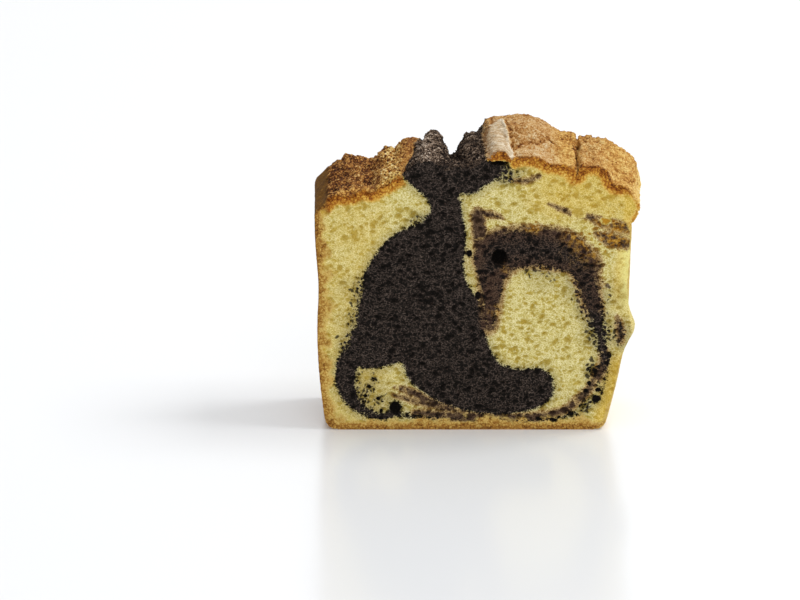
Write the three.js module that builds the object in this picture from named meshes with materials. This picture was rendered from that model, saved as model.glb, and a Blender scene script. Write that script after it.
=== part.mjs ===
// A thick slice of marble loaf cake, standing on its base as it was cut. Millimetres, +Z up.
//
// The slice is one solid between two parallel cuts. Its section is the one that a loaf tin
// gives: a flat base with round corners, two walls that lean outwards to the rim, and above
// the rim a top that rose freely, rolled over the right-hand rim as a lip, cracked open along
// the middle and sank there. The section is built at even stations from the front cut (-Y)
// to the rear cut (+Y) and lofted through them.

import * as THREE from 'three';

// Driving dimensions
const THICKNESS = 30; // between the two cuts
const TIN_HEIGHT = 70; // from the base to the tin's rim
const CORNER_RADIUS = 4; // height of the round corners between the base and the walls
const CORNER_FOOT = 4.4; // from the wall in to where the flat base begins
const CORNER_TIP = 0.7; // from the wall in to the tip that draws the corner's curve
const STATIONS = 16; // sections along the thickness

// Walls as the tin and the cooling left them: [height above the base, distance from the
// middle plane]. The left wall has a slight waist, the right wall leans out more.
const LEFT_WALL = [
  [CORNER_RADIUS, -48.4], [18, -49.9], [33, -50.5], [47, -50.0], [61, -50.9], [TIN_HEIGHT, -51.2],
];
const RIGHT_WALL = [
  [CORNER_RADIUS, 41.7], [17, 44.7], [30, 46.8], [42, 47.8], [60, 48.3], [TIN_HEIGHT - 1, 48.6],
];
const WALL_ROWS = 30; // points up each wall
const BASE_COLUMNS = 12; // points along the base
const CORNER_STEPS = 4;

// A soft blister on the right wall, where batter pushed out between crust and tin
const BLISTER = { height: 33.2, depth: -10, rise: 3.2, tall: 4.8, deep: 7 };

// The lip that rolled over the right-hand rim, and the left shoulder. Points are [x, z] at
// the front cut; towards the rear both stand out further by the amount given.
const LIP = [[50.2, 71.3], [50.9, 73.6], [50.6, 75.6]];
const LIP_OUT = 1.5;
const SHOULDER = [[-51.1, 72.2], [-50.4, 73.8]];
const SHOULDER_OUT = 0.5;
const SHOULDER_UP = 1; // and the shoulder also stands this much higher
const TOP_COLUMNS = 84; // points across the top between lip and shoulder
const TOP_RIGHT = 49.5;
const TOP_LEFT = -49.1;

// The swells of the top crust from left to right. Each is [front, rear]: the place of its
// crest across the slice, its half width and its height above the base. A swell passes from
// its front to its rear size between the two shares of the thickness in turn.
const SWELLS = {
  left_shoulder: { x: [-37.7, -38.0], half: [12.0, 11.8], crest: [79.7, 82.0], turn: [0.1, 0.9] },
  ruffle: { x: [-28.8, -28.2], half: [5.5, 4.8], crest: [81.6, 84.6], turn: [0.0, 0.7] },
  knob: { x: [-22.7, -20.6], half: [7.4, 5.8], crest: [84.7, 88.4], turn: [0.35, 0.8] },
  left_ridge: { x: [-15.6, -13.8], half: [8.6, 3.9], crest: [89.0, 90.3], turn: [0.1, 0.9] },
  crack_floor: { x: [-5.6, -6.9], half: [6.0, 4.5], crest: [87.4, 82.4], turn: [0.0, 0.8] },
  right_ridge: { x: [4.0, 0.0], half: [10.0, 6.0], crest: [88.8, 89.9], turn: [0.0, 0.7] },
  tongue: { x: [6.9, 5.6], half: [4.5, 4.6], crest: [92.9, 95.2], turn: [0.0, 0.8] },
  dome: { x: [15.5, 13.6], half: [9.5, 12.2], crest: [91.1, 96.0], turn: [0.3, 0.62] },
  dome_foot: { x: [24.4, 26.2], half: [9.9, 8.6], crest: [88.5, 90.5], turn: [0.2, 0.8] },
  right_lump: { x: [35.2, 37.8], half: [7.7, 8.4], crest: [88.3, 88.7], turn: [0.0, 1.0] },
  right_shoulder: { x: [42.1, 43.2], half: [8.0, 8.3], crest: [82.2, 85.2], turn: [0.0, 0.6] },
};
const SWELL_FALL = 6; // how far a swell's flank has dropped at its half width
const SWELL_POWER = 2.5; // how boxy its cross-section is
const SWELL_BLEND = 0.5; // how softly neighbours run together

// The crevice between the dome and the right lump, which runs along the thickness, and the
// crease across it where the dome stands up behind its front band
const CREVICE = { x: [31.0, 31.6], half: [0.9, 0.8], depth: [2.6, 1.6] };
const CREASE = { x: 19, half: 11, depth: 11, wide: 2.6, drop: 1.3 };

// Crags: patches where the crust baked into knobbly clumps, with their pitch and height.
// Waves that cross at odd angles make clumps with no pattern that repeats.
const CRAGS = [
  { x: -36, half: 14, pitch: 7.0, height: 0.32 },
  { x: 41, half: 9, pitch: 6.2, height: 0.2 },
];
const CRAG_WAVES = [0.95, 1.1, 1.25, 1.4, 1.55]; // the length of each wave, in pitches
const CRAG_TURN = 2.4; // radians from each wave to the next

const mix = (a, b, share) => a + (b - a) * share;

const ease = (low, high, value) => {
  const share = Math.min(1, Math.max(0, (value - low) / (high - low)));
  return share * share * (3 - 2 * share);
};

const bump = (offset, width) => Math.exp(-((offset / width) ** 2));

function clumps(x, depth, pitch) {
  let height = 0;
  CRAG_WAVES.forEach((length, i) => {
    const angle = (i + 1) * CRAG_TURN;
    const along = x * Math.cos(angle) + depth * Math.sin(angle);
    height += Math.sin((2 * Math.PI * along) / (pitch * length) + i + 1);
  });
  return height;
}

// Height of the top crust above the base, at x and at a share of the thickness
function crustHeight(x, share) {
  let total = 0;
  for (const swell of Object.values(SWELLS)) {
    const turned = ease(...swell.turn, share);
    const offset = Math.abs(x - mix(...swell.x, turned)) / mix(...swell.half, turned);
    const flank = mix(...swell.crest, turned) - SWELL_FALL * offset ** SWELL_POWER;
    total += Math.exp((flank - TIN_HEIGHT) / SWELL_BLEND);
  }
  let height = TIN_HEIGHT + SWELL_BLEND * Math.log(total);
  const inCrevice = bump(x - mix(...CREVICE.x, share), mix(...CREVICE.half, share));
  height -= mix(...CREVICE.depth, share) * inCrevice;
  const depth = share * THICKNESS;
  height -= CREASE.drop * bump(x - CREASE.x, CREASE.half) * bump(depth - CREASE.depth, CREASE.wide);
  for (const crag of CRAGS) {
    height += crag.height * clumps(x, depth, crag.pitch) * bump(x - crag.x, crag.half);
  }
  return height;
}

// A wall as a smooth line through its [height, x] knots, from the lowest up
function wallPoints(knots) {
  const line = new THREE.SplineCurve(knots.map(([z, x]) => new THREE.Vector2(x, z)));
  return line.getSpacedPoints(WALL_ROWS);
}

// A round corner from the base up to a wall's lowest knot; side is -1 left, 1 right
function cornerPoints([height, x], side) {
  const foot = new THREE.Vector2(x - side * CORNER_FOOT, 0);
  const corner = new THREE.Vector2(x - side * CORNER_TIP, 0);
  const arc = new THREE.QuadraticBezierCurve(foot, corner, new THREE.Vector2(x, height));
  return arc.getPoints(CORNER_STEPS);
}

// The section at a share of the thickness, as a closed loop that runs to the right along
// the base, up the right wall, back over the top and down the left wall
function section(share) {
  const depth = (share - 0.5) * THICKNESS;
  const leftCorner = cornerPoints(LEFT_WALL[0], -1);
  const rightCorner = cornerPoints(RIGHT_WALL[0], 1);
  const loop = [];
  for (let i = 0; i <= BASE_COLUMNS; i++) {
    loop.push(new THREE.Vector2(mix(leftCorner[0].x, rightCorner[0].x, i / BASE_COLUMNS), 0));
  }
  loop.push(...rightCorner.slice(1));
  loop.push(...wallPoints(RIGHT_WALL).slice(1));
  for (const [x, z] of LIP) {
    loop.push(new THREE.Vector2(x + LIP_OUT * share, z));
  }
  const right = TOP_RIGHT + LIP_OUT * share;
  const left = TOP_LEFT - SHOULDER_OUT * share;
  for (let i = 0; i <= TOP_COLUMNS; i++) {
    const x = mix(right, left, i / TOP_COLUMNS);
    loop.push(new THREE.Vector2(x, crustHeight(x, share)));
  }
  for (const [x, z] of [...SHOULDER].reverse()) {
    loop.push(new THREE.Vector2(x - SHOULDER_OUT * share, z + SHOULDER_UP * share));
  }
  loop.push(...wallPoints(LEFT_WALL).reverse());
  loop.push(...leftCorner.reverse().slice(1, -1));
  for (const point of loop) {
    if (point.x > 0) {
      const upward = bump(point.y - BLISTER.height, BLISTER.tall);
      point.x += BLISTER.rise * upward * bump(depth - BLISTER.depth, BLISTER.deep);
    }
  }
  return loop;
}

// A closed body through equal loops: a skin between neighbours and a flat cap on each cut
function loft(loops, depths) {
  const count = loops[0].length;
  const positions = loops.flatMap((loop, i) => loop.flatMap((p) => [p.x, depths[i], p.y]));
  const faces = [];
  for (let i = 0; i + 1 < loops.length; i++) {
    for (let j = 0; j < count; j++) {
      const a = i * count + j;
      const b = i * count + ((j + 1) % count);
      faces.push(a, b + count, b, a, a + count, b + count);
    }
  }
  const last = (loops.length - 1) * count;
  for (const [a, b, c] of THREE.ShapeUtils.triangulateShape(loops[0], [])) {
    faces.push(a, b, c);
  }
  for (const [a, b, c] of THREE.ShapeUtils.triangulateShape(loops.at(-1), [])) {
    faces.push(last + a, last + c, last + b);
  }
  const body = new THREE.BufferGeometry();
  body.setAttribute('position', new THREE.Float32BufferAttribute(positions, 3));
  body.setIndex(faces);
  return body;
}

function sliceGeometry() {
  const shares = Array.from({ length: STATIONS }, (_, i) => i / (STATIONS - 1));
  const body = loft(shares.map(section), shares.map((share) => (share - 0.5) * THICKNESS));
  body.computeBoundingBox();
  const middle = body.boundingBox.getCenter(new THREE.Vector3());
  body.translate(-middle.x, -middle.y, -body.boundingBox.min.z);
  body.computeVertexNormals();
  return body;
}

const crumbAndCrust = new THREE.MeshStandardMaterial({
  color: new THREE.Color(0.78, 0.6, 0.27),
  roughness: 0.85,
  metalness: 0,
});

const slice = new THREE.Mesh(sliceGeometry(), crumbAndCrust);
slice.name = 'cake_slice';

const cake = new THREE.Group();
cake.add(slice);
export default cake;
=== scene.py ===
from math import cos, radians, sin
from types import SimpleNamespace

import bmesh
import bpy
import numpy as np
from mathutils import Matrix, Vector, noise
from mathutils.bvhtree import BVHTree
from mathutils.kdtree import KDTree


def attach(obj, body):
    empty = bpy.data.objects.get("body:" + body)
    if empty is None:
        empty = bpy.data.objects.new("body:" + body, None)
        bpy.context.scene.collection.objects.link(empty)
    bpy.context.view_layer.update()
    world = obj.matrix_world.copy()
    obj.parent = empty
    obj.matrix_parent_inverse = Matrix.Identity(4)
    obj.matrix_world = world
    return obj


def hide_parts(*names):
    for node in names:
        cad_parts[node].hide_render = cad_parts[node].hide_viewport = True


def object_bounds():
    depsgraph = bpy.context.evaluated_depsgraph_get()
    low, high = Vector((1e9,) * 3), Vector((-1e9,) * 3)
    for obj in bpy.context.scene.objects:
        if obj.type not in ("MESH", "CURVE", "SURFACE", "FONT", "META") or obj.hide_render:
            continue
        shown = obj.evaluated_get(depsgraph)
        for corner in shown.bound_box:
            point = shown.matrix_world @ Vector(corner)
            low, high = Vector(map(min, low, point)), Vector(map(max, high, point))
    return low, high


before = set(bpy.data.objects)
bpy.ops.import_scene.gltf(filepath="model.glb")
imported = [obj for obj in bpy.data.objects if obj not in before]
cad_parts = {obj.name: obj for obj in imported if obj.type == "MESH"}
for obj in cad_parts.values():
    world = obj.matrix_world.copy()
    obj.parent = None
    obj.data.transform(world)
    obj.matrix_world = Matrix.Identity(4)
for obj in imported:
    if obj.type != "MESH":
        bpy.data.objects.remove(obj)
solid_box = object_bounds()

# ---------------------------------------------------------------------------
# The slice: butter crumb with cocoa crumb folded through it, under a browned
# crust. The solid's own form is remeshed finely, its crust is roughened, and
# the gas cells that the knife opened are pressed into both cut faces.
# ---------------------------------------------------------------------------

MM = 0.001
GRAIN = 0.3  # mm between the points of the fine mesh
CRUST_ROUNDS = 28  # rounds of smoothing that take the solid's facets out of the crust
FACES_KEPT = 196_000
HALF_THICKNESS = round(solid_box[1][1] / MM, 3)

slice_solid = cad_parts["cake_slice"]


def finished(piece):
    """The piece's mesh with its modifiers applied."""
    mesh = bpy.data.meshes.new_from_object(piece.evaluated_get(bpy.context.evaluated_depsgraph_get()))
    piece.modifiers.clear()
    old, piece.data = piece.data, mesh
    bpy.data.meshes.remove(old)
    return mesh


def points_of(mesh):
    """Every point of a mesh, in millimetres."""
    flat = np.empty(len(mesh.vertices) * 3, np.float32)
    mesh.vertices.foreach_get("co", flat)
    return flat.reshape(-1, 3).astype(float) / MM


def normals_of(mesh):
    """The normal at every point of a mesh."""
    flat = np.empty(len(mesh.vertices) * 3, np.float32)
    mesh.vertex_normals.foreach_get("vector", flat)
    return flat.reshape(-1, 3).astype(float)


cake = bpy.data.objects.new("marble_slice", slice_solid.data.copy())
bpy.context.scene.collection.objects.link(cake)
shape = bmesh.new()
shape.from_mesh(cake.data)
bmesh.ops.remove_doubles(shape, verts=shape.verts, dist=0.01 * MM)
skin = BVHTree.FromPolygons(
    [v.co / MM for v in shape.verts],
    [[v.index for v in f.verts] for f in shape.faces if abs(f.normal.y) < 0.99],
)
shape.to_mesh(cake.data)
shape.free()

remesh = cake.modifiers.new("fine", "REMESH")
remesh.mode = "VOXEL"
remesh.voxel_size = GRAIN * MM
finished(cake)

place = points_of(cake.data)
on_cut = np.abs(place[:, 1]) > HALF_THICKNESS - 0.6 * GRAIN  # on the front or the rear cut
crust_group = cake.vertex_groups.new(name="crust")
crust_group.add(np.flatnonzero(~on_cut).tolist(), 1.0, "REPLACE")
smooth = cake.modifiers.new("facets", "SMOOTH")
smooth.vertex_group = "crust"
smooth.iterations = CRUST_ROUNDS
finished(cake)
place, facing = points_of(cake.data), normals_of(cake.data)
x, y, z = place.T
depth = (y + HALF_THICKNESS) / (2 * HALF_THICKNESS)  # 0 at the front cut, 1 at the rear
front = on_cut & (y < 0)
crust = ~on_cut


def rise(value, low, high):
    """0 below low, 1 above high, and smooth between."""
    share = np.clip((value - low) / (high - low), 0, 1)
    return share * share * (3 - 2 * share)


def fall(value, low, high):
    """1 below low, 0 above high, and smooth between."""
    return rise(-value, -high, -low)


def hill(value, middle, width):
    """1 in the middle, and falling away softly on both sides."""
    return np.exp(-(((value - middle) / width) ** 2))


def sampled(where, function):
    """A function of place over some of the points, 0 at the others."""
    values = np.zeros(len(place))
    for i in np.flatnonzero(where):
        values[i] = function(Vector(place[i]))
    return values


# The cocoa batter, as seen on the front cut. Outlines and ribbons are [across, up] in
# millimetres, and a ribbon's third number is half its width. First comes the large dark body,
# from the cracked top down to its foot and the tail at its left, then the plain crumb that
# is folded into it, and then the arch on the right.
BODY = [
    (-25.5, 100), (-24.6, 86), (-21, 81), (-17.4, 78), (-15.9, 76), (-15.5, 73.2), (-18.8, 70),
    (-22, 67.8), (-25.2, 66.4), (-28.8, 63.6), (-32.4, 59.4), (-35.6, 53.6), (-37.6, 48.4),
    (-38.2, 43), (-39, 38), (-41.4, 31.5), (-43.6, 26.5), (-45.3, 21.4), (-45.4, 16), (-43.6, 11),
    (-40, 6.6), (-34.6, 3.6), (-29.5, 2.9), (-24.5, 4.8), (-15.5, 6.2), (-8.5, 7.2), (-1, 5.6),
    (6.5, 5), (13.5, 5.5), (20, 7.6), (23.8, 11), (24.5, 14.8), (23.2, 18.8), (19.8, 20.9),
    (14, 20.5), (9, 21.5), (5.6, 24.4), (3.4, 29.5), (2.2, 34), (1.2, 39), (0.4, 43.4),
    (-1.6, 46.4), (-3.2, 49.4), (-4.3, 53.6), (-4.1, 58.5), (-3.8, 64), (-4.4, 70.5), (-5.4, 76),
    (-5.8, 78.4), (-3.5, 78.3), (0.2, 79.2), (1.5, 81.1), (3.6, 81.9), (6.4, 83.5), (8.9, 85),
    (9.5, 87), (8.4, 88.4), (5, 89), (2, 91), (1.9, 100),
]
FOLD = [
    (-38, 20.3), (-33.5, 20.2), (-27.5, 21.4), (-24, 22.7), (-23.2, 19.2), (-20.8, 15.2),
    (-17, 12), (-12.5, 9), (-7.5, 7), (-15.5, 6), (-23.5, 6), (-27, 8.6), (-29.2, 6.1),
    (-33, 6.8), (-36.3, 10), (-38, 15.2),
]
ARCH = [
    (-1.5, 56.5), (-1.4, 59.5), (0.4, 62), (2.4, 64), (5.5, 65.4), (10.2, 66.4), (16, 66.7),
    (22.5, 66.2), (28, 65.2), (31.2, 63.2), (33.6, 60.6), (36, 58.2), (37.3, 55.8), (36.8, 53.6),
    (36.7, 51.5), (37.4, 49.5), (38.8, 46), (39.3, 42.8), (40, 38.4), (40.7, 31.7), (41.2, 24.2),
    (40.9, 19.6), (40.3, 17.5), (39.6, 19), (38.6, 24), (37.4, 28), (36.2, 32.4), (34.4, 35.6),
    (32.8, 40.6), (31.4, 44.4), (30.6, 47.5), (29.4, 50.5), (27.6, 52.7), (21.9, 53.4),
    (16.4, 54.1), (11.6, 53.8), (9.2, 52.9), (8.2, 50.5), (7.8, 47.6), (7.2, 44.4), (5.8, 39),
    (5.2, 35.6), (4.2, 34.2), (2.9, 35.6), (1.8, 40), (1.5, 43.6), (0.9, 46.8), (0, 49.8),
    (-0.8, 53.4),
]

# Where the spatula drew cocoa out thin: dark, thinned to brown, and washed out
DARK_RIBBONS = [
    [(-26.5, 5, 0.9), (-20, 4.4, 0.7), (-12, 4.0, 0.5), (-4, 3.8, 0.2)],
    [(41.2, 25, 1.1), (40.6, 19.7, 0.8), (40.1, 16.5, 0.5), (39.2, 12, 0.3), (34.5, 8, 0.4),
     (29, 5, 0.6), (22.8, 3.4, 0.5), (12, 2.9, 0.2)],
    [(44.9, 35.5, 0.5), (45.5, 31.5, 1.2), (45, 28.4, 0.4)],
    [(6, 83.2, 0.3), (9.5, 83.9, 0.6), (13.5, 85.8, 0.4)],
]
BROWN_RIBBONS = [
    [(-26, 14.4, 0.4), (-20.5, 12.4, 1.2), (-13, 8.8, 1.0), (-4, 6.2, 0.7)],
    [(-26.5, 11.4, 0.4), (-21, 10, 0.8), (-15.9, 8.4, 0.8), (-8, 6.5, 0.5)],
    [(-20, 5.6, 1.0), (-6, 4.4, 1.6), (6, 3.6, 1.8), (18, 4.1, 1.6), (27.6, 6.5, 1.2),
     (31, 9.5, 1.3), (34.5, 12.6, 1.2), (37.6, 17, 1.4), (39.6, 22, 1.5), (40, 28, 1.0)],
    [(11, 83, 0.3), (15, 83, 0.7), (19, 84.4, 0.4)],
    [(22, 75.4, 0.2), (26, 73.6, 0.6), (30, 72, 0.5), (34, 71.3, 0.7), (38, 69.6, 1.5),
     (43, 68.2, 1.8), (47, 67.2, 1.5)],
    [(37, 65.6, 0.6), (41, 63.8, 2.1), (46, 62.4, 1.9)],
    [(-1.4, 72.3, 0.8), (2, 72.2, 1.0), (5, 71.7, 0.9), (7.5, 70.5, 0.3)],
    [(-0.2, 72, 2.1), (0.2, 67, 2.3), (0.2, 62.5, 1.8), (-0.4, 58.5, 0.9)],
    [(43.8, 38.6, 0.3), (44.9, 34, 1.2), (45.2, 30, 0.9)],
]
WASHED_RIBBONS = [
    [(-0.4, 55, 1.0), (0.2, 59.5, 1.2), (1.6, 62.8, 1.2), (5.5, 66, 1.0), (10.2, 67.3, 1.2),
     (16, 67.6, 1.3), (22, 66.5, 1.8), (27, 65.1, 2.3), (31, 62.4, 2.9), (35, 58.6, 2.9),
     (37.6, 56, 2.2), (38, 51.5, 1.2)],
    [(8.4, 53.2, 0.7), (5, 52, 1.2), (3.6, 48.6, 1.7), (3.6, 44.2, 1.6), (3.6, 40, 1.3),
     (3.6, 36, 1.0)],
]

# Round patches [across, up, reach] where cocoa and crumb meet in flecks, and where the brown
# batter is amber
FLECKED = [
    (-40, 47, 7), (-41, 37, 6), (-42, 30, 5), (-33, 13, 9), (30, 47, 8), (34, 40, 7), (35, 31, 6),
    (37, 20, 6), (32, 8.5, 7), (44, 33, 8), (43, 46, 7), (20, 51, 8), (9, 84, 5), (-20, 71, 4),
]
AMBER = [(41.5, 66, 10), (32, 61, 9), (5.5, 40, 3), (8.5, 54, 2), (17, 68, 4)]

# Going back through the loaf the pattern turns about a pivot, shrinks and drifts, and the
# cocoa in the cracked top narrows towards its right side
PIVOT = (2.0, 42.0)
TURN = radians(24)
SHRINK = 0.08
DRIFT_ACROSS = (4, 11)  # how far at the rear cut, and the height over which it sways
DRIFT_UP = (3, 13)
NARROWING = 0.31
CRACK_SIDE = 1.8

# Larger gas cells in the plain crumb of the front cut: across, up, half width, half height
PORES = [
    (8.9, 72.9, 1.1, 0.7), (14, 68.6, 0.9, 0.8), (16.6, 68.2, 0.9, 0.8), (31.4, 72.5, 1.8, 1.5),
    (39.8, 69.8, 1.6, 1.0), (-25.1, 73.4, 1.1, 0.9), (15.7, 53, 1.4, 0.6), (13.4, 87, 1.7, 0.7),
]

# Large gas holes in the cocoa and at its edge, with their depth as a fifth number
HOLES = [
    (6.6, 57.5, 2.6, 2.9, 4.5), (-2.9, 59, 0.95, 1.1, 1.3), (-26.2, 7.1, 1.9, 2.3, 2.6),
    (-0.1, 45, 1.0, 1.3, 1.2), (-34.5, 14.2, 0.9, 0.8, 1.2), (-33.2, 16.8, 0.7, 0.6, 1.0),
    (-35.7, 11.3, 0.7, 0.7, 1.0), (-31.4, 10.4, 0.9, 0.7, 1.0), (-36.1, 9.3, 0.8, 0.5, 0.9),
    (-30.7, 6.2, 0.6, 0.7, 1.0), (36.7, 19.2, 1.5, 1.6, 1.5), (35.3, 15.6, 0.7, 0.8, 0.8),
    (38.2, 13.4, 0.9, 0.8, 1.0), (34.3, 13, 0.9, 0.8, 0.9), (37.5, 10.3, 1.5, 1.3, 1.4),
    (33.4, 7.8, 1.3, 0.9, 1.2), (29.7, 5.2, 1.1, 1.1, 1.2), (31.6, 4.9, 0.6, 0.5, 0.8),
    (24.2, 3.1, 1.3, 0.6, 1.0), (19.4, 3.5, 0.8, 0.5, 0.8), (6.5, 88.6, 2.8, 0.8, 2.4),
]


def curved(knots, closed, steps=6):
    """A smooth line through the knots, as points close together."""
    knots = np.array(knots, float)
    count = len(knots)
    spans = count if closed else count - 1
    line = []
    for i in range(spans):
        picks = [i - 1, i, i + 1, i + 2]
        picks = [p % count for p in picks] if closed else np.clip(picks, 0, count - 1)
        a, b, c, d = knots[picks]
        for t in np.arange(steps) / steps:
            line.append(0.5 * (2 * b + (c - a) * t + (2 * a - 5 * b + 4 * c - d) * t**2
                               + (3 * b - 3 * c + d - a) * t**3))
    if not closed:
        line.append(knots[-1])
    return np.array(line)


def near(spots, line, closed=False):
    """Each spot's distance to a line, and the line's half width at that place."""
    ends = np.roll(line, -1, axis=0) if closed else line[1:]
    distance, width = np.full(len(spots), np.inf), np.zeros(len(spots))
    for a, b in zip(line, ends):
        along = b[:2] - a[:2]
        t = np.clip((spots - a[:2]) @ along / max(along @ along, 1e-9), 0, 1)
        gap = np.linalg.norm(spots - a[:2] - t[:, None] * along, axis=1)
        closer = gap < distance
        distance[closer] = gap[closer]
        if len(a) > 2:
            width[closer] = (a[2] + t * (b[2] - a[2]))[closer]
    return distance, width


def inside_outline(spots, knots):
    """How far each spot is inside a closed outline, negative outside it."""
    line = curved(knots, closed=True)
    distance, _ = near(spots, line, closed=True)
    within = np.zeros(len(spots), bool)
    for a, b in zip(line, np.roll(line, -1, axis=0)):
        crosses = (a[1] > spots[:, 1]) != (b[1] > spots[:, 1])
        at = a[0] + (spots[:, 1] - a[1]) * (b[0] - a[0]) / (b[1] - a[1] + 1e-12)
        within ^= crosses & (spots[:, 0] < at)
    return np.where(within, distance, -distance)


def inside_ribbons(spots, ribbons):
    """How far each spot is inside the nearest of some ribbons, negative outside them."""
    inside = np.full(len(spots), -9.0)
    for knots in ribbons:
        distance, width = near(spots, curved(knots, closed=False))
        inside = np.maximum(inside, width - distance)
    return inside


def front_spots():
    """Where the batter at each point was on the front cut, before it turned and drifted."""
    turn = -TURN * depth
    across, up = (x - PIVOT[0]) * (1 + SHRINK * depth), (z - PIVOT[1]) * (1 + SHRINK * depth)
    drift_x = depth * DRIFT_ACROSS[0] * np.sin(z / DRIFT_ACROSS[1])
    drift_z = depth * DRIFT_UP[0] * np.sin(x / DRIFT_UP[1])
    turned_x = PIVOT[0] + across * np.cos(turn) - up * np.sin(turn) + drift_x
    turned_z = PIVOT[1] + across * np.sin(turn) + up * np.cos(turn) + drift_z
    narrowed = np.where(x < CRACK_SIDE, CRACK_SIDE + (x - CRACK_SIDE) * (1 + NARROWING * depth), x)
    top = rise(z, 66, 82)
    return np.stack([top * narrowed + (1 - top) * turned_x, top * z + (1 - top) * turned_z], axis=1)


def inside_rounds(rounds):
    """1 in the middle of each round patch [across, up, reach], 0 beyond its reach."""
    within = np.zeros(len(spots))
    for across, up, reach in rounds:
        gap = np.hypot(spots[:, 0] - across, spots[:, 1] - up)
        within = np.maximum(within, rise(-gap, -reach, -reach / 3))
    return within


spots = front_spots()
flecked = inside_rounds(FLECKED)
amber = inside_rounds(AMBER)
cocoa = inside_outline(spots, BODY)
cocoa = np.minimum(cocoa, -inside_outline(spots, FOLD))
arch = inside_outline(spots, ARCH)
cocoa = np.maximum(cocoa, arch)
cocoa = np.maximum(cocoa, inside_ribbons(spots, DARK_RIBBONS))
brown = inside_ribbons(spots, BROWN_RIBBONS)

# How far the cocoa is washed out to brown, 0 to 1: most along the ribbons, with a wide tan
# fringe outside the arch, and in part over all of the arch but its foot
washed = inside_ribbons(spots, WASHED_RIBBONS)
fringe = rise(washed, -5, -0.8) * (0.3 + 0.7 * rise(spots[:, 0], -1.5, 2))
washed = np.where(arch > 0, rise(washed, -2.2, 1.4), fringe)
washed = np.maximum(washed, 0.62 * rise(arch, -1.5, 0.5) * rise(spots[:, 1], 34, 42))

# No brown batter fills the larger cells, and a rim of cocoa runs round each hole
for across, up, wide, tall in PORES:
    gap = np.hypot((x - across) / wide, (z - up) / tall)
    brown = np.where(front, np.minimum(brown, 4 * (gap - 1.4)), brown)
for across, up, wide, tall, _ in HOLES:
    gap = np.hypot((x - across) / wide, (z - up) / tall)
    cocoa = np.where(front, np.maximum(cocoa, 1.6 * (1.15 - gap)), cocoa)

# Zones of the skin, each 0 to 1. The walls lay against the tin, and the upper zone rose free.
upper = rise(z, 66, 74) * rise(x, -48.8, -46.6)
walls = 1 - upper
left_wall = fall(x, -48.2, -46.6)
right_wall = rise(x, 34, 43)
at_base = fall(z, 2, 4) * (1 - 0.6 * right_wall)  # the foot, less so on the right
torn = rise(cocoa, -1.0, 0.6) * upper  # the cracked cocoa in the middle of the top
shoulder = fall(x, -14, -10) * upper * (1 - torn)
ruffle = shoulder * hill(x, -27.5, 4.2)
knob = shoulder * rise(x, -25, -23)
lump = rise(x, 30, 32) * upper

# The tongue of crust beside the crack, the flake that stands along its right edge, and the
# dome, with its cap behind the tongue and its rough patch
ground = sampled(crust | (z > 66), lambda p: noise.fractal(p / 2.4, 1.0, 2.0, 4))
tongue_left = 1.7 + 1.2 * fall(y, -12, -4) + 3.0 * rise(y, 2, 10) + 0.4 * ground
tongue_right = 11.2 - 0.14 * (y + HALF_THICKNESS) + 0.7 * ground
tongue_length = rise(z, 88.5, 90.5) * fall(y, 10, 13)
tongue = rise(x, tongue_left - 0.3, tongue_left + 0.3)
tongue *= fall(x, tongue_right - 0.3, tongue_right + 0.3)
tongue *= tongue_length
flake = hill(x, tongue_right, 0.6) * tongue_length
dome = rise(x, 1, 3) * (1 - lump) * upper * (1 - torn) * (1 - tongue)
cap = dome * rise(tongue_left - x, -0.3, 0.3) * rise(y, -2, 2)
patch = dome * hill(x, 12, 3.5) * hill(y, 0, 4)

# How deep each point of a cut face lies under the baked skin, and how far the browning
# reaches in from it, both in millimetres. Browned is 0 at the skin and 1 where it has paled.
BROWNED = {
    "left": 3.4, "right": 0.5, "base": 2.5, "shoulder": 3.6, "dome": 3.6, "lump": 3.4, "tongue": 4.2,
}
under_skin = sampled(on_cut, lambda p: skin.find_nearest(p)[3])
rim = rise(np.abs(y), 13.4, 14.9) * upper  # the crust's edge along both cuts
wall_reach = BROWNED["left"] + (BROWNED["right"] - BROWNED["left"]) * right_wall
wall_reach = wall_reach + (BROWNED["base"] - wall_reach) * at_base
reach = (
    wall_reach * walls
    + BROWNED["shoulder"] * shoulder
    + BROWNED["dome"] * dome
    + BROWNED["lump"] * lump * (1 - 0.65 * rise(x, 44, 48))
    + BROWNED["tongue"] * tongue
)
patchy = sampled(on_cut & (under_skin < 8), lambda p: noise.fractal(p / 5, 1.0, 2.0, 2))
reach *= np.clip(1 + walls * (1 - at_base) * patchy, 0.4, 1.5)
browned = under_skin / np.maximum(reach, BROWNED["right"])
browned **= 1 + upper + 2 * walls * at_base  # beside the walls it pales at once, elsewhere later

# The crevice between dome and lump runs back through the slice, and its sides baked too
CREVICE_LINE = [[(31.1, 86, 0.8), (31.3, 83, 0.9), (32.2, 79.8, 0.3)]]
crevice_x = 31 + 0.6 * depth
in_crevice = inside_ribbons(np.stack([x, z], axis=1), CREVICE_LINE)
browned = np.where(on_cut, np.minimum(browned, 0.8 + 3 * fall(in_crevice, -1.2, 0.3)), browned)

# Where the plain crumb is yellower: near the baked skin, high on the right, and to both sides
# but for a greyer stretch on the right
yolky = 0.85 * fall(under_skin, 1.5, 4.5)
yolky = np.maximum(yolky, 0.62 * rise(x, 2, 26) * rise(z, 62, 76))
greyer = rise(z, 20, 28) * fall(z, 40, 50)
yolky = np.maximum(yolky, rise(x - 0.12 * z, 34, 40)) * (1 - 0.75 * greyer * rise(x, 30, 36))
yolky = np.maximum(yolky, 0.4 * fall(x, -34, -20))
yolky = np.maximum(yolky, rise(x, 43, 47) * rise(z, 60, 68))
# Painted light: the thin edge on the right is painted paler, as if light shone through it from behind
glow = rise(x, 42.8, 47.2) * rise(z, 38, 47) * fall(z, 60, 70)  # the thin edge on the right
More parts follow.
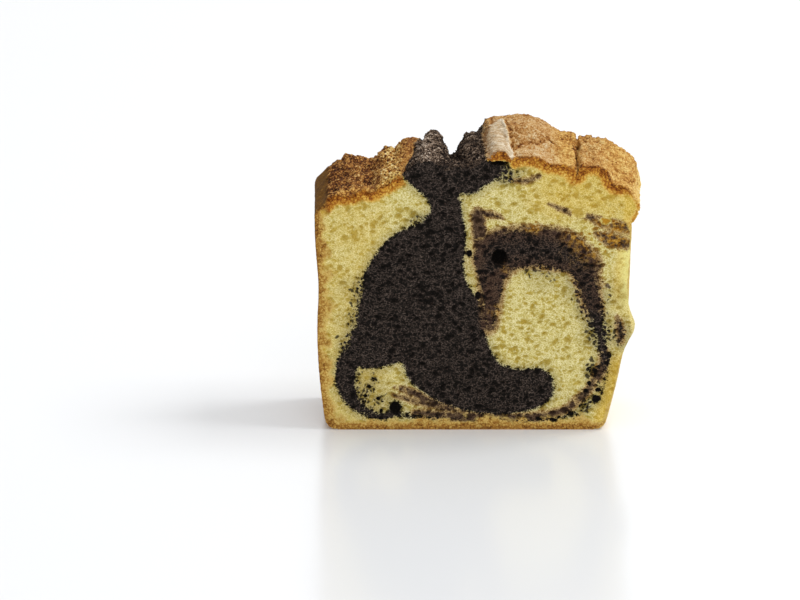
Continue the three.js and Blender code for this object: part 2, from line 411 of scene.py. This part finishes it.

# How dark the skin baked, 0 pale to 1 nearly burnt, with painted shade on the tongue's left edge: zone
# by zone, then what differs in each
mellow = rise(x, 43.5, 47.5) * fall(z, 77, 81)  # under the lip
bake = 0.62 * walls + 0.74 * shoulder + 0.43 * dome + 0.44 * lump + 0.24 * tongue + 0.5 * torn
bake += 0.08 * patch - 0.12 * dome * fall(y, -4, 3)  # the dome's front band is paler
bake += 0.10 * dome * rise(x, 23, 28) * crust  # and its foot by the crevice darker
bake += 0.12 * shoulder * fall(x, -46, -43)  # the shoulder's outer edge
bake -= 0.10 * shoulder * fall(y, -14, -8)  # its front
bake -= 0.06 * shoulder * rise(x, -24, -21) + 0.06 * ruffle
# painted shade on the tongue's left edge
bake += 0.14 * tongue * rise(tongue_left - x, -2.0, -0.2)  # the tongue's left edge
bake -= 0.28 * flake
bake -= 0.22 * mellow * upper
bake -= 0.21 * walls * at_base
bake -= 0.45 * walls * right_wall

# On the cut faces the browned band under dome and lump is darker than their skin, but for two
# paler stretches, and the band inside shoulder and walls is paler
paler = 0.8 * hill(x, 30, 3.6) + 0.45 * hill(x, 42, 2.6)
cut_bake = 0.24 * (1 - mellow) - 0.22 * paler
bake += (dome + 0.7 * lump) * np.where(on_cut, cut_bake, 0.12 * fall(y, -14.6, -13))
bake -= np.where(on_cut, 0.13 * shoulder + 0.20 * walls * (1 - at_base), 0)
bake = np.where(front, np.maximum(bake, 0.60 * tongue), bake)
bake = np.clip(bake, 0, 1)

# The walls' own differences: the left one darkens up to the shoulder, and the right one is
# cloudy, and darker at its foot and below the rim
bake += left_wall * (0.24 * rise(z, 50, 70) - 0.06)
clouded = 0.10 * ground + 0.12 * rise(z, 56, 70) + 0.10 * fall(z, 4, 16)
bake += crust * walls * right_wall * clouded

# Where the skin stayed golden, and where it is smooth because it lay against the tin or
# stretched over the cap and knob
gilt = np.maximum.reduce([
    right_wall * fall(z, 74.5, 79),
    0.3 * ruffle + shoulder * (0.3 + 0.4 * fall(y, -14, -10)),
    lump * (0.3 + 0.3 * rise(x, 36, 44)),
    0.7 * lump * hill(x, crevice_x + 0.2, 1.4),
    0.6 * dome * rise(x, 21, 28),
])
tinned = np.maximum.reduce([left_wall, walls * fall(z, 66, 70), 0.7 * cap + 0.5 * knob])

# Where the torn cocoa is paler, partly dried crumb and partly painted highlights: most on its left
# ridge, not in the gap
ashen = hill(x, -16, 4.5) + 0.38 * hill(x, -0.5, 3.5)


def inside_blister(p):
    """How far a point of the right wall is inside the blister, by its ragged rim."""
    out = Vector(((p.y + 13) / 6.5, (p.z - 34) / 7.5)).length
    return 1.5 - out + 0.3 * noise.fractal(p / 4, 1.0, 2.0, 3)


# The blister on the right wall broke open and shows its crumb
bare = rise(rise(x, 44, 46) * sampled(x > 43, inside_blister), 0.3, 0.6)
under_skin = np.maximum(under_skin, 3 * bare)
browned = np.maximum(browned, 3 * bare)

# Cracks and grooves in the crust, seen from above: across, back, half width
GROOVES = [
    [(11.6, -15, 0.1), (11.2, -10, 0.2), (10.4, -2, 0.3), (9.4, 3, 0.3), (8.4, 10, 0.2), (7, 12, 0.1)],
    [(1.2, 8, 0.3), (3.1, 7.2, 0.45), (4.4, 7.8, 0.45), (6.1, 10.4, 0.3)],
    [(11.4, -4.9, 0.1), (13.1, -3.2, 0.25), (15.9, -2.6, 0.3), (19, -2, 0.2), (22.1, 0.5, 0.1)],
    [(21.8, 0.9, 0.0), (23.6, 0.7, 0.3), (25.4, 0.3, 0.0)],
    [(30.1, -15, 0.2), (30.3, -6, 0.3), (30.1, 2, 0.3), (31.6, 7, 0.2), (33.8, 12.1, 0.0)],
]
in_groove = inside_ribbons(np.stack([x, y], axis=1), GROOVES)
groove = np.where(crust, rise(in_groove, -0.6, 0.2), 0) * upper
# In the colour the seam and the grooves are also painted darker, as shade in them
seam = crust * hill(x, tongue_left - 0.5, 0.4) * rise(y, 0, 3) * rise(z, 88, 90)
groove = np.maximum(groove, seam) * (1 - torn)


def grains(where, size):
    """Rounded grains of a size in millimetres: 1 in a grain's middle, less towards its edge."""
    return sampled(where, lambda p: 1 - noise.voronoi(p / size)[0][0])


def torn_walls(p):
    """The walls that stand between torn open cells: 1 on a wall, 0 in a cell."""
    nearest, second = noise.voronoi(Vector((p.x, p.y, p.z * 0.8)) / 1.45)[0][:2]
    return 1 - min(1.0, (second - nearest) / 0.55)


def plates(p):
    """Plates of crust with cracks between them: 1 on a plate, 0 in a crack."""
    nearest, second = noise.voronoi(p / 5.5 + noise.noise_vector(p / 3) * 0.25)[0][:2]
    return min(1.0, (second - nearest) / 0.22)


def wrinkles(p):
    """Fine creases that run across the tongue."""
    return noise.fractal(Vector((p.x / 3.0 + p.y / 3, p.y / 0.8, p.z / 1.2)), 1.0, 2.0, 2)


# The crust's fine relief, in millimetres up from the solid's own skin
near_top = (z > 66) & (under_skin < 5)
granule = grains(near_top, 1.3)
speckle = grains(near_top & (x > 0), 0.85)
clump = grains(near_top, 3.4)
torn_wall = sampled(near_top & (torn + ruffle > 0.02), torn_walls)
wrinkle = sampled(near_top & (tongue > 0), wrinkles)
plate = sampled(near_top & (dome + lump > 0.02), plates) - 0.75
relief = (
    shoulder * (1 - 0.6 * knob) * (0.9 * (granule - 0.5) + 0.9 * (clump - 0.6) + 0.5 * ground)
    + ruffle * 0.9 * (torn_wall - 0.4)
    + dome * (1 - 0.7 * cap) * (0.5 * (speckle - 0.5) + 0.3 * ground + 0.25 * plate)
    + patch * 0.6 * (granule - 0.5)
    + lump * (0.7 * (speckle - 0.5) + 0.5 * (clump - 0.6) + 0.3 * ground + 0.4 * plate)
    + torn * (1.2 * (torn_wall - 0.4) + 0.5 * (clump - 0.6) + 0.6 * ground)
    + tongue * 0.45 * wrinkle
    + flake * (0.3 + 0.6 * granule)
    + walls * 0.07 * ground
    - groove * 0.4
)
relief *= rise(z, 0.4, 3.0)  # the base stays flat

# The lips that stand up along both sides of the crevice
LIP_HEIGHT = 1.1
from_crevice = np.abs(x - crevice_x - 0.4 * np.sin(y / 2.3))
lips = hill(from_crevice, 1.4, 0.9) * upper * rise(z, 78, 82)

# The crust moves along its normals. The cuts stay flat: near the skin their points move with
# it inside their plane, and where the crust is low the edge also breaks inwards.
push = facing.copy()
moved = np.where(on_cut, fall(under_skin, 0.2, 1.7), 1)
for i in np.flatnonzero(on_cut & (moved > 0)):
    normal = skin.find_nearest(Vector(place[i]))[1]
    push[i] = normal.x, 0, normal.z
crumbling = shoulder + 0.6 * torn + 0.5 * lump + 0.4 * dome
crumbly = np.where(on_cut, fall(under_skin, 0.5, 3.5) * crumbling, 0)

# Gas cells: each is a small hollow, wider than tall, drawn at random over both cut faces
CELLS_PER_FACE = 4800
CELL_RADIUS = (0.3, 1.2)
FEW_LARGE = 7  # the higher, the fewer large cells there are
CELL_TILT = 0.5  # radians, either way
CELL_LENGTH = 1.2  # half of it, in radii
CELL_DEPTH = 0.8  # in radii
rng = np.random.default_rng(7)
pit = np.zeros(len(place))  # 1 at the bottom of a cell, 0 outside
sunk = np.zeros(len(place))  # how deep the face is there, in millimetres
for side in (-1, 1):
    face = np.flatnonzero(on_cut & (y * side > 0))
    tree = KDTree(len(face))
    for i in face:
        tree.insert((x[i], 0, z[i]), int(i))
    tree.balance()
    for _ in range(CELLS_PER_FACE):
        radius = CELL_RADIUS[0] + (CELL_RADIUS[1] - CELL_RADIUS[0]) * rng.random() ** FEW_LARGE
        across, up = rng.uniform(-52, 53), rng.uniform(0.5, 96)
        squat, tilt = rng.uniform(1.1, 1.7), rng.normal(0.2, CELL_TILT)
        for spot, i, _ in tree.find_range((across, 0, up), radius * CELL_LENGTH):
            along = (spot[0] - across) * cos(tilt) + (spot[2] - up) * sin(tilt)
            over = (spot[2] - up) * cos(tilt) - (spot[0] - across) * sin(tilt)
            gap = (along / CELL_LENGTH) ** 2 + (over * squat) ** 2
            if gap < radius * radius:
                bowl = (1 - gap / radius**2) ** 0.7
                pit[i] = max(pit[i], bowl)
                sunk[i] = max(sunk[i], bowl * radius * CELL_DEPTH)

wobble = sampled(front, lambda p: noise.noise(p / 0.8))


def press(across, up, wide, tall, deep, ragged, opening):
    """Press one of the larger cells into the front cut, with a rim that wobbles."""
    gap = np.hypot((x - across) / wide, (z - up) / tall) + wobble * ragged
    bowl = np.where(front, np.clip(1 - np.abs(gap) ** 4, 0, 1) ** 0.5, 0) * opening
    np.maximum(pit, bowl, out=pit)
    np.maximum(sunk, bowl * deep, out=sunk)


for across, up, wide, tall in PORES:
    press(across, up, wide, tall, deep=tall * 0.6, ragged=0.5, opening=0.85)
for across, up, wide, tall, deep in HOLES:
    press(across, up, wide, tall, deep, ragged=0.15, opening=1.0)
sunk *= rise(under_skin, 0.1, 0.8)

place[:, 1] -= np.sign(y) * (sunk - np.minimum(relief, 0) * crumbly)
place += push * ((relief + LIP_HEIGHT * lips) * moved)[:, None]
cake.data.vertices.foreach_set("co", (place * MM).astype(np.float32).ravel())

# What the material has to know about each point
FIELDS = {
    "cocoa": cocoa,
    "brown": brown,
    "washed": washed,
    "flecked": flecked,
    "amber": amber,
    "yolky": yolky,
    "glow": glow,
    "pit": pit,
    "under_skin": under_skin,
    "browned": browned,
    "bake": bake,
    "gilt": gilt,
    "left_wall": left_wall,
    "tinned": tinned,
    "upper": upper,
    "rim": rim,
    "ruffle": ruffle,
    "tongue": tongue,
    "ashen": ashen,
    "groove": groove,
    "relief": relief,
}
for name, values in FIELDS.items():
    layer = cake.data.attributes.new(name, "FLOAT", "POINT")
    layer.data.foreach_set("value", values.astype(np.float32))
cake.data.update()

thin = cake.modifiers.new("thin", "DECIMATE")
thin.ratio = FACES_KEPT / (2 * len(cake.data.polygons))
finished(cake)
cake.data.shade_smooth()


class Link:
    """One output of a shader node. Sums and products of links add their Math nodes."""

    def __init__(self, tree, socket=None):
        self.tree, self.socket = tree, socket

    def add(self, kind, settings=None, sockets=None, output=0):
        """A new node: its settings first, then the values or links of its sockets."""
        node = self.tree.nodes.new(kind)
        for name, value in (settings or {}).items():
            setattr(node, name, value)
        for name, value in (sockets or {}).items():
            if isinstance(value, Link):
                self.tree.links.new(value.socket, node.inputs[name])
            else:
                node.inputs[name].default_value = value
        return Link(self.tree, node.outputs[output]) if node.outputs else None

    def maths(self, operation, first, second=0.0):
        return self.add("ShaderNodeMath", {"operation": operation}, {0: first, 1: second})

    def __add__(self, other):
        return self.maths("ADD", self, other)

    __radd__ = __add__

    def __sub__(self, other):
        return self.maths("SUBTRACT", self, other)

    def __rsub__(self, other):
        return self.maths("SUBTRACT", other, self)

    def __mul__(self, other):
        return self.maths("MULTIPLY", self, other)

    __rmul__ = __mul__

    def larger(self, other):
        return self.maths("MAXIMUM", self, other)

    def rise(self, low, high):
        """0 below low, 1 above high, and smooth between."""
        sockets = {"Value": self, "From Min": low, "From Max": high}
        return self.add("ShaderNodeMapRange", {"interpolation_type": "SMOOTHSTEP"}, sockets)

    def blend(self, low_colour, high_colour):
        """A colour that goes from one to the other as this link goes from 0 to 1."""
        sockets = {0: self, 6: low_colour, 7: high_colour}
        return self.add("ShaderNodeMix", {"data_type": "RGBA"}, sockets, output=2)

    def shades(self, stops):
        """A colour that passes through the stops, each [value, colour], in turn."""
        colour = stops[0][1]
        for (low, _), (high, following) in zip(stops, stops[1:]):
            colour = self.rise(low, high).blend(colour, following)
        return colour

    def stretched(self, scale):
        """This place, scaled along each axis."""
        return self.add("ShaderNodeMapping", sockets={"Vector": self, "Scale": scale})

    def noise(self, size, detail=2.0, roughness=0.5):
        """Noise at this place with features of a size in millimetres, about -1 to 1."""
        sockets = {"Vector": self, "Scale": 1 / size, "Detail": detail, "Roughness": roughness}
        return (self.add("ShaderNodeTexNoise", sockets=sockets) - 0.5) * 2.5

    def cell_edge(self, size):
        """Distance from the walls of cells of a size: 0 on a wall, about 0.4 in a middle."""
        settings = {"feature": "DISTANCE_TO_EDGE"}
        return self.add("ShaderNodeTexVoronoi", settings, {"Vector": self, "Scale": 1 / size})

    def cell_chance(self, size):
        """A number from 0 to 1 that is the same all over one cell."""
        sockets = {"Vector": self, "Scale": 1 / size}
        colour = self.add("ShaderNodeTexVoronoi", sockets=sockets, output=1)
        return colour.add("ShaderNodeSeparateColor", sockets={0: colour})


def new_material(name):
    material = bpy.data.materials.new(name)
    material.use_nodes = True
    tree = material.node_tree
    tree.nodes.clear()
    return material, Link(tree)


def rgb(red, green, blue):
    return (red, green, blue, 1.0)


# Colours of the crumb, from the cell walls to the bottoms of the cells. The darker bottoms are partly
# the crumb's own deeper yellow and partly painted shade in the cells.
BUTTER = [
    (-0.08, rgb(0.98, 0.89, 0.51)), (0.16, rgb(0.75, 0.65, 0.245)), (0.45, rgb(0.61, 0.48, 0.12)),
    (0.95, rgb(0.50, 0.34, 0.04)),
]
GOLDEN = [
    (-0.08, rgb(0.91, 0.70, 0.20)), (0.3, rgb(0.68, 0.45, 0.06)), (0.95, rgb(0.50, 0.28, 0.018)),
]
# painted light for the thin right edge
PAINTED_GLOW_EDGE = rgb(1.0, 0.90, 0.33)
AMBER_PIT = rgb(0.55, 0.24, 0.01)
TAN = [(-0.1, rgb(0.60, 0.42, 0.18)), (0.5, rgb(0.32, 0.18, 0.045))]
CARAMEL = [
    (-0.1, rgb(0.66, 0.40, 0.080)), (0.25, rgb(0.50, 0.235, 0.018)), (0.7, rgb(0.26, 0.09, 0.007)),
]
MOCHA = [
    (-0.1, rgb(0.13, 0.080, 0.050)), (0.18, rgb(0.066, 0.036, 0.024)),
    (0.65, rgb(0.024, 0.013, 0.010)),
]
CHOCOLATE = [
    (-0.10, rgb(0.150, 0.113, 0.092)), (0.12, rgb(0.045, 0.033, 0.027)),
    (0.40, rgb(0.0115, 0.009, 0.0075)), (0.75, rgb(0.0060, 0.0050, 0.0040)),
]
RUST = rgb(0.090, 0.045, 0.030)

# Colours of the skin, from pale to nearly burnt. The torn cocoa's go from its gaps, dark with painted
# shade, to its walls, pale partly with painted highlights, instead.
CRUST = [
    (-0.15, rgb(0.92, 0.80, 0.60)), (0.2, rgb(0.70, 0.51, 0.27)), (0.42, rgb(0.57, 0.32, 0.115)),
    (0.62, rgb(0.38, 0.17, 0.045)), (0.85, rgb(0.16, 0.055, 0.018)), (1.15, rgb(0.04, 0.016, 0.008)),
]
GILDED = [
    (-0.1, rgb(0.98, 0.81, 0.34)), (0.2, rgb(0.88, 0.60, 0.15)), (0.6, rgb(0.55, 0.26, 0.05)),
    (0.85, rgb(0.17, 0.055, 0.015)), (1.15, rgb(0.04, 0.014, 0.006)),
]
LEATHER = [
    (0.2, rgb(0.55, 0.30, 0.07)), (0.5, rgb(0.34, 0.160, 0.030)), (0.8, rgb(0.14, 0.062, 0.010)),
    (1.1, rgb(0.05, 0.023, 0.006)),
]
FLOURY = [
    (-0.1, rgb(0.86, 0.76, 0.60)), (0.3, rgb(0.56, 0.43, 0.28)), (0.6, rgb(0.34, 0.19, 0.085)),
]
TORN_COCOA = [
    (-0.25, rgb(0.003, 0.002, 0.002)), (0.12, rgb(0.026, 0.018, 0.014)),
    (0.42, rgb(0.115, 0.075, 0.050)), (0.72, rgb(0.34, 0.25, 0.18)), (1.0, rgb(0.72, 0.60, 0.49)),
]
TOAST = [
    (-0.25, rgb(0.86, 0.62, 0.17)), (0.05, rgb(0.76, 0.44, 0.075)), (0.30, rgb(0.60, 0.27, 0.034)),
    (0.55, rgb(0.39, 0.13, 0.018)), (0.85, rgb(0.13, 0.036, 0.008)),
]
DRAB_TOAST = [
    (-0.1, rgb(0.62, 0.44, 0.14)), (0.4, rgb(0.34, 0.19, 0.045)), (0.8, rgb(0.12, 0.06, 0.015)),
]


def textures(shader, field):
    """The patterns that crumb and skin share. In the cells' patterns 0 is a wall."""
    tex = SimpleNamespace()
    at = shader.add("ShaderNodeTexCoord", output=3)
    tex.straight = at.stretched([1 / MM] * 3)
    bend = shader.add(
        "ShaderNodeTexNoise", sockets={"Vector": tex.straight, "Scale": 0.9, "Detail": 2.0}, output=1
    )
    bending = {0: bend, 1: [0.8] * 3, 2: tex.straight}
    tex.bent = shader.add("ShaderNodeVectorMath", {"operation": "MULTIPLY_ADD"}, bending)

    # Sponge: a net of thin pale walls round fine cells, coarser cells and scattered open ones
    squat = tex.bent.stretched([0.8, 1, 1.2])
    net = squat.cell_edge(0.62).rise(0.02, 0.24)
    coarse_wall = squat.cell_edge(1.2)
    coarse = coarse_wall.rise(0.02, 0.22)
    middling = coarse_wall.rise(0.10, 0.28) * squat.cell_chance(1.2).rise(0.5, 0.8)
    wide = squat.cell_edge(1.7).rise(0.12, 0.24) * squat.cell_chance(1.7).rise(0.76, 0.84)
    open_cell = (middling * 0.55).larger(wide * 0.9).larger(field.pit)
    tex.speck = tex.straight.noise(0.45, detail=2.0, roughness=0.7)
    # How deep in a cell each spot lies, which the colours paint darker, partly as painted shade
    tex.hollow = net * 0.34 + open_cell * (0.61 - field.yolky * 0.40) - tex.speck * 0.22
    tex.pitted = net * 0.34 + coarse * 0.24 + open_cell * 0.42 - tex.speck * 0.38

    # Soft stains, and grains that each have a shade of their own
    tex.cloud = tex.straight.noise(1.5, detail=4.0, roughness=0.65)
    tex.broad = tex.straight.noise(3.2, detail=3.0)
    tex.mottle = tex.straight.noise(4.5, detail=4.0, roughness=0.6) * (field.tinned * 0.8 + 1.0)
    tex.dust = tex.straight.noise(0.5, detail=3.0, roughness=0.8)
    tex.salt = tex.bent.cell_chance(0.6) - 0.5
    tex.pepper = tex.bent.cell_chance(1.15) - 0.5
    tex.grain = tex.bent.cell_edge(1.0).rise(0.0, 0.28)
    tex.strand = tex.bent.cell_edge(1.5).rise(0.25, 0.03)
    return tex


def batters(field, tex):
    """Which batter is where. At its edge the cocoa shows in the open cells first, most where
    it is flecked, there also in lone cells, and where it is washed out it is brown."""
    batter = SimpleNamespace()
    gulf = tex.bent.cell_edge(1.6).rise(0.02, 0.32)
    holed = tex.pitted + (gulf - tex.pitted) * field.flecked * 0.6
    lone = field.flecked * (field.cocoa * 0.13 + 0.56) - tex.bent.cell_chance(1.65)
    batter.lone = lone.rise(-0.02, 0.06) * tex.bent.cell_edge(1.65).rise(0.08, 0.24)
    edge = field.cocoa + (holed - 0.42) * (field.flecked * 3.4 + 1.3)
    edge = edge + tex.cloud * (field.flecked * 0.8 + 0.3) + tex.broad * 0.4
    solid = edge.rise(field.flecked * -0.55 - 0.4, field.flecked * 0.65 + 0.45)
    batter.dark = solid.larger(batter.lone * 0.88)
    pale = field.washed * 1.4 + tex.cloud * 0.35 - (tex.pitted - 0.3) * 0.9 - edge * 0.1
    batter.pale = pale.rise(0.25, 1.2)
    stain = (field.cocoa + tex.cloud * 0.8).rise(-3.2, -0.2)
    batter.stain = stain * 0.28 + field.flecked * 0.19
    fringe = field.washed * (edge + tex.cloud * 0.8).rise(-3.8, 0.2)
    streak = (field.brown + tex.cloud * 0.7 + (tex.hollow - 0.3) * 0.7).rise(-1.4, 0.9)
    batter.warm = fringe.larger(streak * 0.92)
    return batter


def crumb_colour(field, tex, batter):
    butter = tex.hollow.shades(BUTTER)
    golden = tex.hollow.shades(GOLDEN)
    butter = (field.yolky + tex.broad * 0.15).rise(0.0, 1.0).blend(butter, golden)
    # painted light: the thin right edge paler, as if lit through
    butter = (field.glow * (1.45 - tex.hollow * 1.7)).blend(butter, PAINTED_GLOW_EDGE)
    butter = ((field.amber * field.pit).rise(0.2, 0.7) * 0.75).blend(butter, AMBER_PIT)
    cloudy = tex.hollow + tex.cloud * 0.2
    mocha, caramel = cloudy.shades(MOCHA), cloudy.shades(CARAMEL)
    resinous = field.amber * tex.straight.noise(1.4, detail=3.0).rise(-0.3, 0.35)
    streaked = resinous.blend(mocha, caramel)
    smeared = (resinous * 0.42).blend(mocha, caramel)
    shade = tex.pitted.larger(batter.lone * 0.55) - tex.cloud * 0.06 - tex.broad * 0.06
    chocolate = shade.shades(CHOCOLATE)
    rust = tex.straight.noise(0.6, detail=3.0).rise(0.15, 0.7) * (0.7 - tex.pitted)
    chocolate = (rust.rise(0.0, 0.6) * 0.6).blend(chocolate, RUST)
    crumb = batter.stain.blend(butter, mocha)
    crumb = batter.warm.rise(0.0, 0.55).blend(crumb, tex.hollow.shades(TAN))
    crumb = batter.warm.rise(0.35, 1.0).blend(crumb, streaked)
    return batter.dark.blend(crumb, batter.pale.blend(chocolate, smeared))


def skin_colour(field, tex, batter):
    """The skin: browned by how long it baked, grain by grain, with painted shade in the gaps between.
    It is wrinkled on the tongue, with the wrinkles' light and shade painted, a net on the ruffle and
    pinholed where it lay against the tin."""
    rough = field.bake.rise(0.45, 0.75)
    wrinkle = tex.bent.stretched([0.25, 1.5, 1.5]).noise(0.8, detail=3.0, roughness=0.65)
    pinhole = field.tinned * tex.bent.cell_chance(1.7).rise(0.80, 0.86)
    pinhole = pinhole * tex.bent.cell_edge(1.7).rise(0.14, 0.30)
    grit_and_shade = tex.dust * -0.30 + tex.salt * 0.42 + tex.pepper * (rough * 0.20 + 0.07)
    # painted shade in the gaps between the grains
    grit_and_shade = grit_and_shade + (0.5 - tex.grain) * (rough * 0.24 + 0.16)
    grit_and_shade = grit_and_shade * (1.0 - field.tongue * 0.5 - field.tinned * 0.65)
    # the tongue's wrinkles painted with their light and shade
    grit_and_shade = grit_and_shade + field.tongue * wrinkle * 0.6 - field.ruffle * (tex.strand - 0.35) * 0.5
    grit_and_shade = grit_and_shade + pinhole * 0.22
    # Painted light and shade: raised crust is painted paler and low crust darker, and grooves and the
    # seam are painted darker as shade in them
    baked_and_shaded = field.bake + tex.mottle * 0.10 - field.relief * (rough * 0.16 + 0.24)
    baked_and_shaded = baked_and_shaded + field.groove * 0.2 + grit_and_shade
    crust = field.gilt.blend(baked_and_shaded.shades(CRUST), baked_and_shaded.shades(GILDED))
    crust = field.left_wall.blend(crust, baked_and_shaded.shades(LEATHER))
    crust = (field.tongue * 0.75).blend(crust, baked_and_shaded.shades(FLOURY))
    # The torn cocoa: gaps painted near black as shade in them, and raised parts and ridges painted
    # paler as painted light
    torn_net = tex.bent.cell_edge(0.75).rise(0.30, 0.02)
    raised = field.relief * 0.55 + tex.dust * 0.75 + tex.salt * 0.4 + torn_net * 0.5
    raised = raised + field.ashen * 0.40 - 0.50
    return (batter.dark * field.upper).blend(crust, raised.shades(TORN_COCOA))


def toasted(crumb, field, tex, batter):
    """The browned band under the skin on the cut faces, which pales to golden inwards."""
    scorch_and_shade = field.bake + 0.08 - field.browned * 0.60 + tex.dust * -0.2 + tex.salt * 0.36
    # painted shade in the gaps between grains and in the cells of the band
    scorch_and_shade = scorch_and_shade + tex.pepper * 0.22 + (0.5 - tex.grain) * 0.34 + (tex.hollow - 0.3) * 0.30
    scorch_and_shade = scorch_and_shade + tex.mottle * 0.08
    toast = (field.tinned * 0.6).blend(scorch_and_shade.shades(TOAST), scorch_and_shade.shades(DRAB_TOAST))
    ragged = field.browned + tex.cloud * 0.25 + tex.salt * 0.3 + (tex.hollow - 0.3) * 0.25
    return (ragged.rise(1.35, 0.65) * (1.0 - batter.dark)).blend(crumb, toast)


def crumb_and_crust():
    """Cut crumb with its browned band, and the skin outside it, parted by a ragged line."""
    material, shader = new_material("crumb_and_crust")
    field = SimpleNamespace()
    for name in FIELDS:
        link = shader.add("ShaderNodeAttribute", {"attribute_name": name}, output=2)
        setattr(field, name, link)
    tex = textures(shader, field)
    batter = batters(field, tex)
    crumb = toasted(crumb_colour(field, tex, batter), field, tex, batter)
    spill = tex.straight.noise(1.8, detail=3.0, roughness=0.6) * 0.6 + tex.salt * 0.6
    outside = (field.under_skin - spill * field.rim).rise(0.35, 0.08)
    colour = outside.blend(crumb, skin_colour(field, tex, batter))

    pores = tex.hollow * -0.5 + tex.speck * 0.12
    crags = tex.grain * 0.5 + tex.dust * 0.3 + tex.salt * 0.25 + tex.strand * field.ruffle * 0.8
    height = pores + (crags - pores) * outside
    bump = shader.add(
        "ShaderNodeBump", sockets={"Strength": 0.7, "Distance": 0.45 * MM, "Height": height}
    )
    surface = shader.add(
        "ShaderNodeBsdfPrincipled",
        sockets={"Base Color": colour, "Roughness": 0.85, "Specular IOR Level": 0.07, "Normal": bump},
    )
    shader.add("ShaderNodeOutputMaterial", sockets={"Surface": surface})
    return material


cake.data.materials.clear()
cake.data.materials.append(crumb_and_crust())
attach(cake, "root")
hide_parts("cake_slice")

# ---------------------------------------------------------------------------
# The table: a pale board with a slightly glossy lacquer, wider than the view.
# It is only the stage that the slice stands on.
# ---------------------------------------------------------------------------

TABLE_SIDE = 6.0

board = bmesh.new()
bmesh.ops.create_grid(board, x_segments=1, y_segments=1, size=TABLE_SIDE / 2)
table_mesh = bpy.data.meshes.new("table")
board.to_mesh(table_mesh)
board.free()
table = bpy.data.objects.new("table", table_mesh)
bpy.context.scene.collection.objects.link(table)
table_finish, shader = new_material("white_board")
surface = shader.add(
    "ShaderNodeBsdfPrincipled",
    sockets={"Base Color": rgb(0.87, 0.885, 0.905), "Roughness": 0.2, "Specular IOR Level": 0.4},
)
shader.add("ShaderNodeOutputMaterial", sockets={"Surface": surface})
table_mesh.materials.append(table_finish)

# ---------------------------------------------------------------------------
# Studio light: a white room, a strong broad lamp high on the right, which
# leaves a soft shade on the left, and a weaker one above the front.
# ---------------------------------------------------------------------------


def lamp(name, place, side, power):
    """A square lamp that shines on the slice. Metres and watts."""
    light = bpy.data.lights.new(name, "AREA")
    light.size, light.energy = side, power
    fixture = bpy.data.objects.new(name, light)
    fixture.location = place
    aim = Vector((0, 0, 0.05)) - Vector(place)
    fixture.rotation_euler = aim.to_track_quat("-Z", "Y").to_euler()
    bpy.context.scene.collection.objects.link(fixture)


lamp("key", place=(0.75, 0.05, 1.1), side=0.6, power=9.0)
lamp("fill", place=(0.1, -1.0, 0.9), side=0.7, power=2.0)
AMBIENT = 0.62  # what lights the cake
SEEN = 1.6  # what shows behind it and in the table's gloss
room = bpy.data.worlds.new("room")
room.use_nodes = True
room_light = Link(room.node_tree)
room.node_tree.nodes.clear()
diffuse = room_light.add("ShaderNodeLightPath", output=2)
strength = diffuse * (AMBIENT - SEEN) + SEEN
backdrop = room_light.add(
    "ShaderNodeBackground", sockets={"Color": rgb(1, 1, 1), "Strength": strength}
)
room_light.add("ShaderNodeOutputWorld", sockets={"Surface": backdrop})
bpy.context.scene.world = room

# ---------------------------------------------------------------------------
# Camera: a long lens, a little above the slice and square to its front cut. The
# slice stands to the right of the picture's middle.
# ---------------------------------------------------------------------------

AIM = Vector((-0.0247, -0.015, 0.0436))
ELEVATION = radians(18.9)
DISTANCE = 1.5
VIEW_WIDTH = 0.2524  # what the picture spans at the front cut

lens = bpy.data.cameras.new("camera")
lens.sensor_width = 36.0
lens.lens = lens.sensor_width * DISTANCE / VIEW_WIDTH
camera = bpy.data.objects.new("camera", lens)
back = Vector((0, -cos(ELEVATION), sin(ELEVATION)))
camera.location = AIM + DISTANCE * back
camera.rotation_euler = (-back).to_track_quat("-Z", "Y").to_euler()
bpy.context.scene.collection.objects.link(camera)
bpy.context.scene.camera = camera
bpy.context.scene.view_settings.view_transform = "Standard"
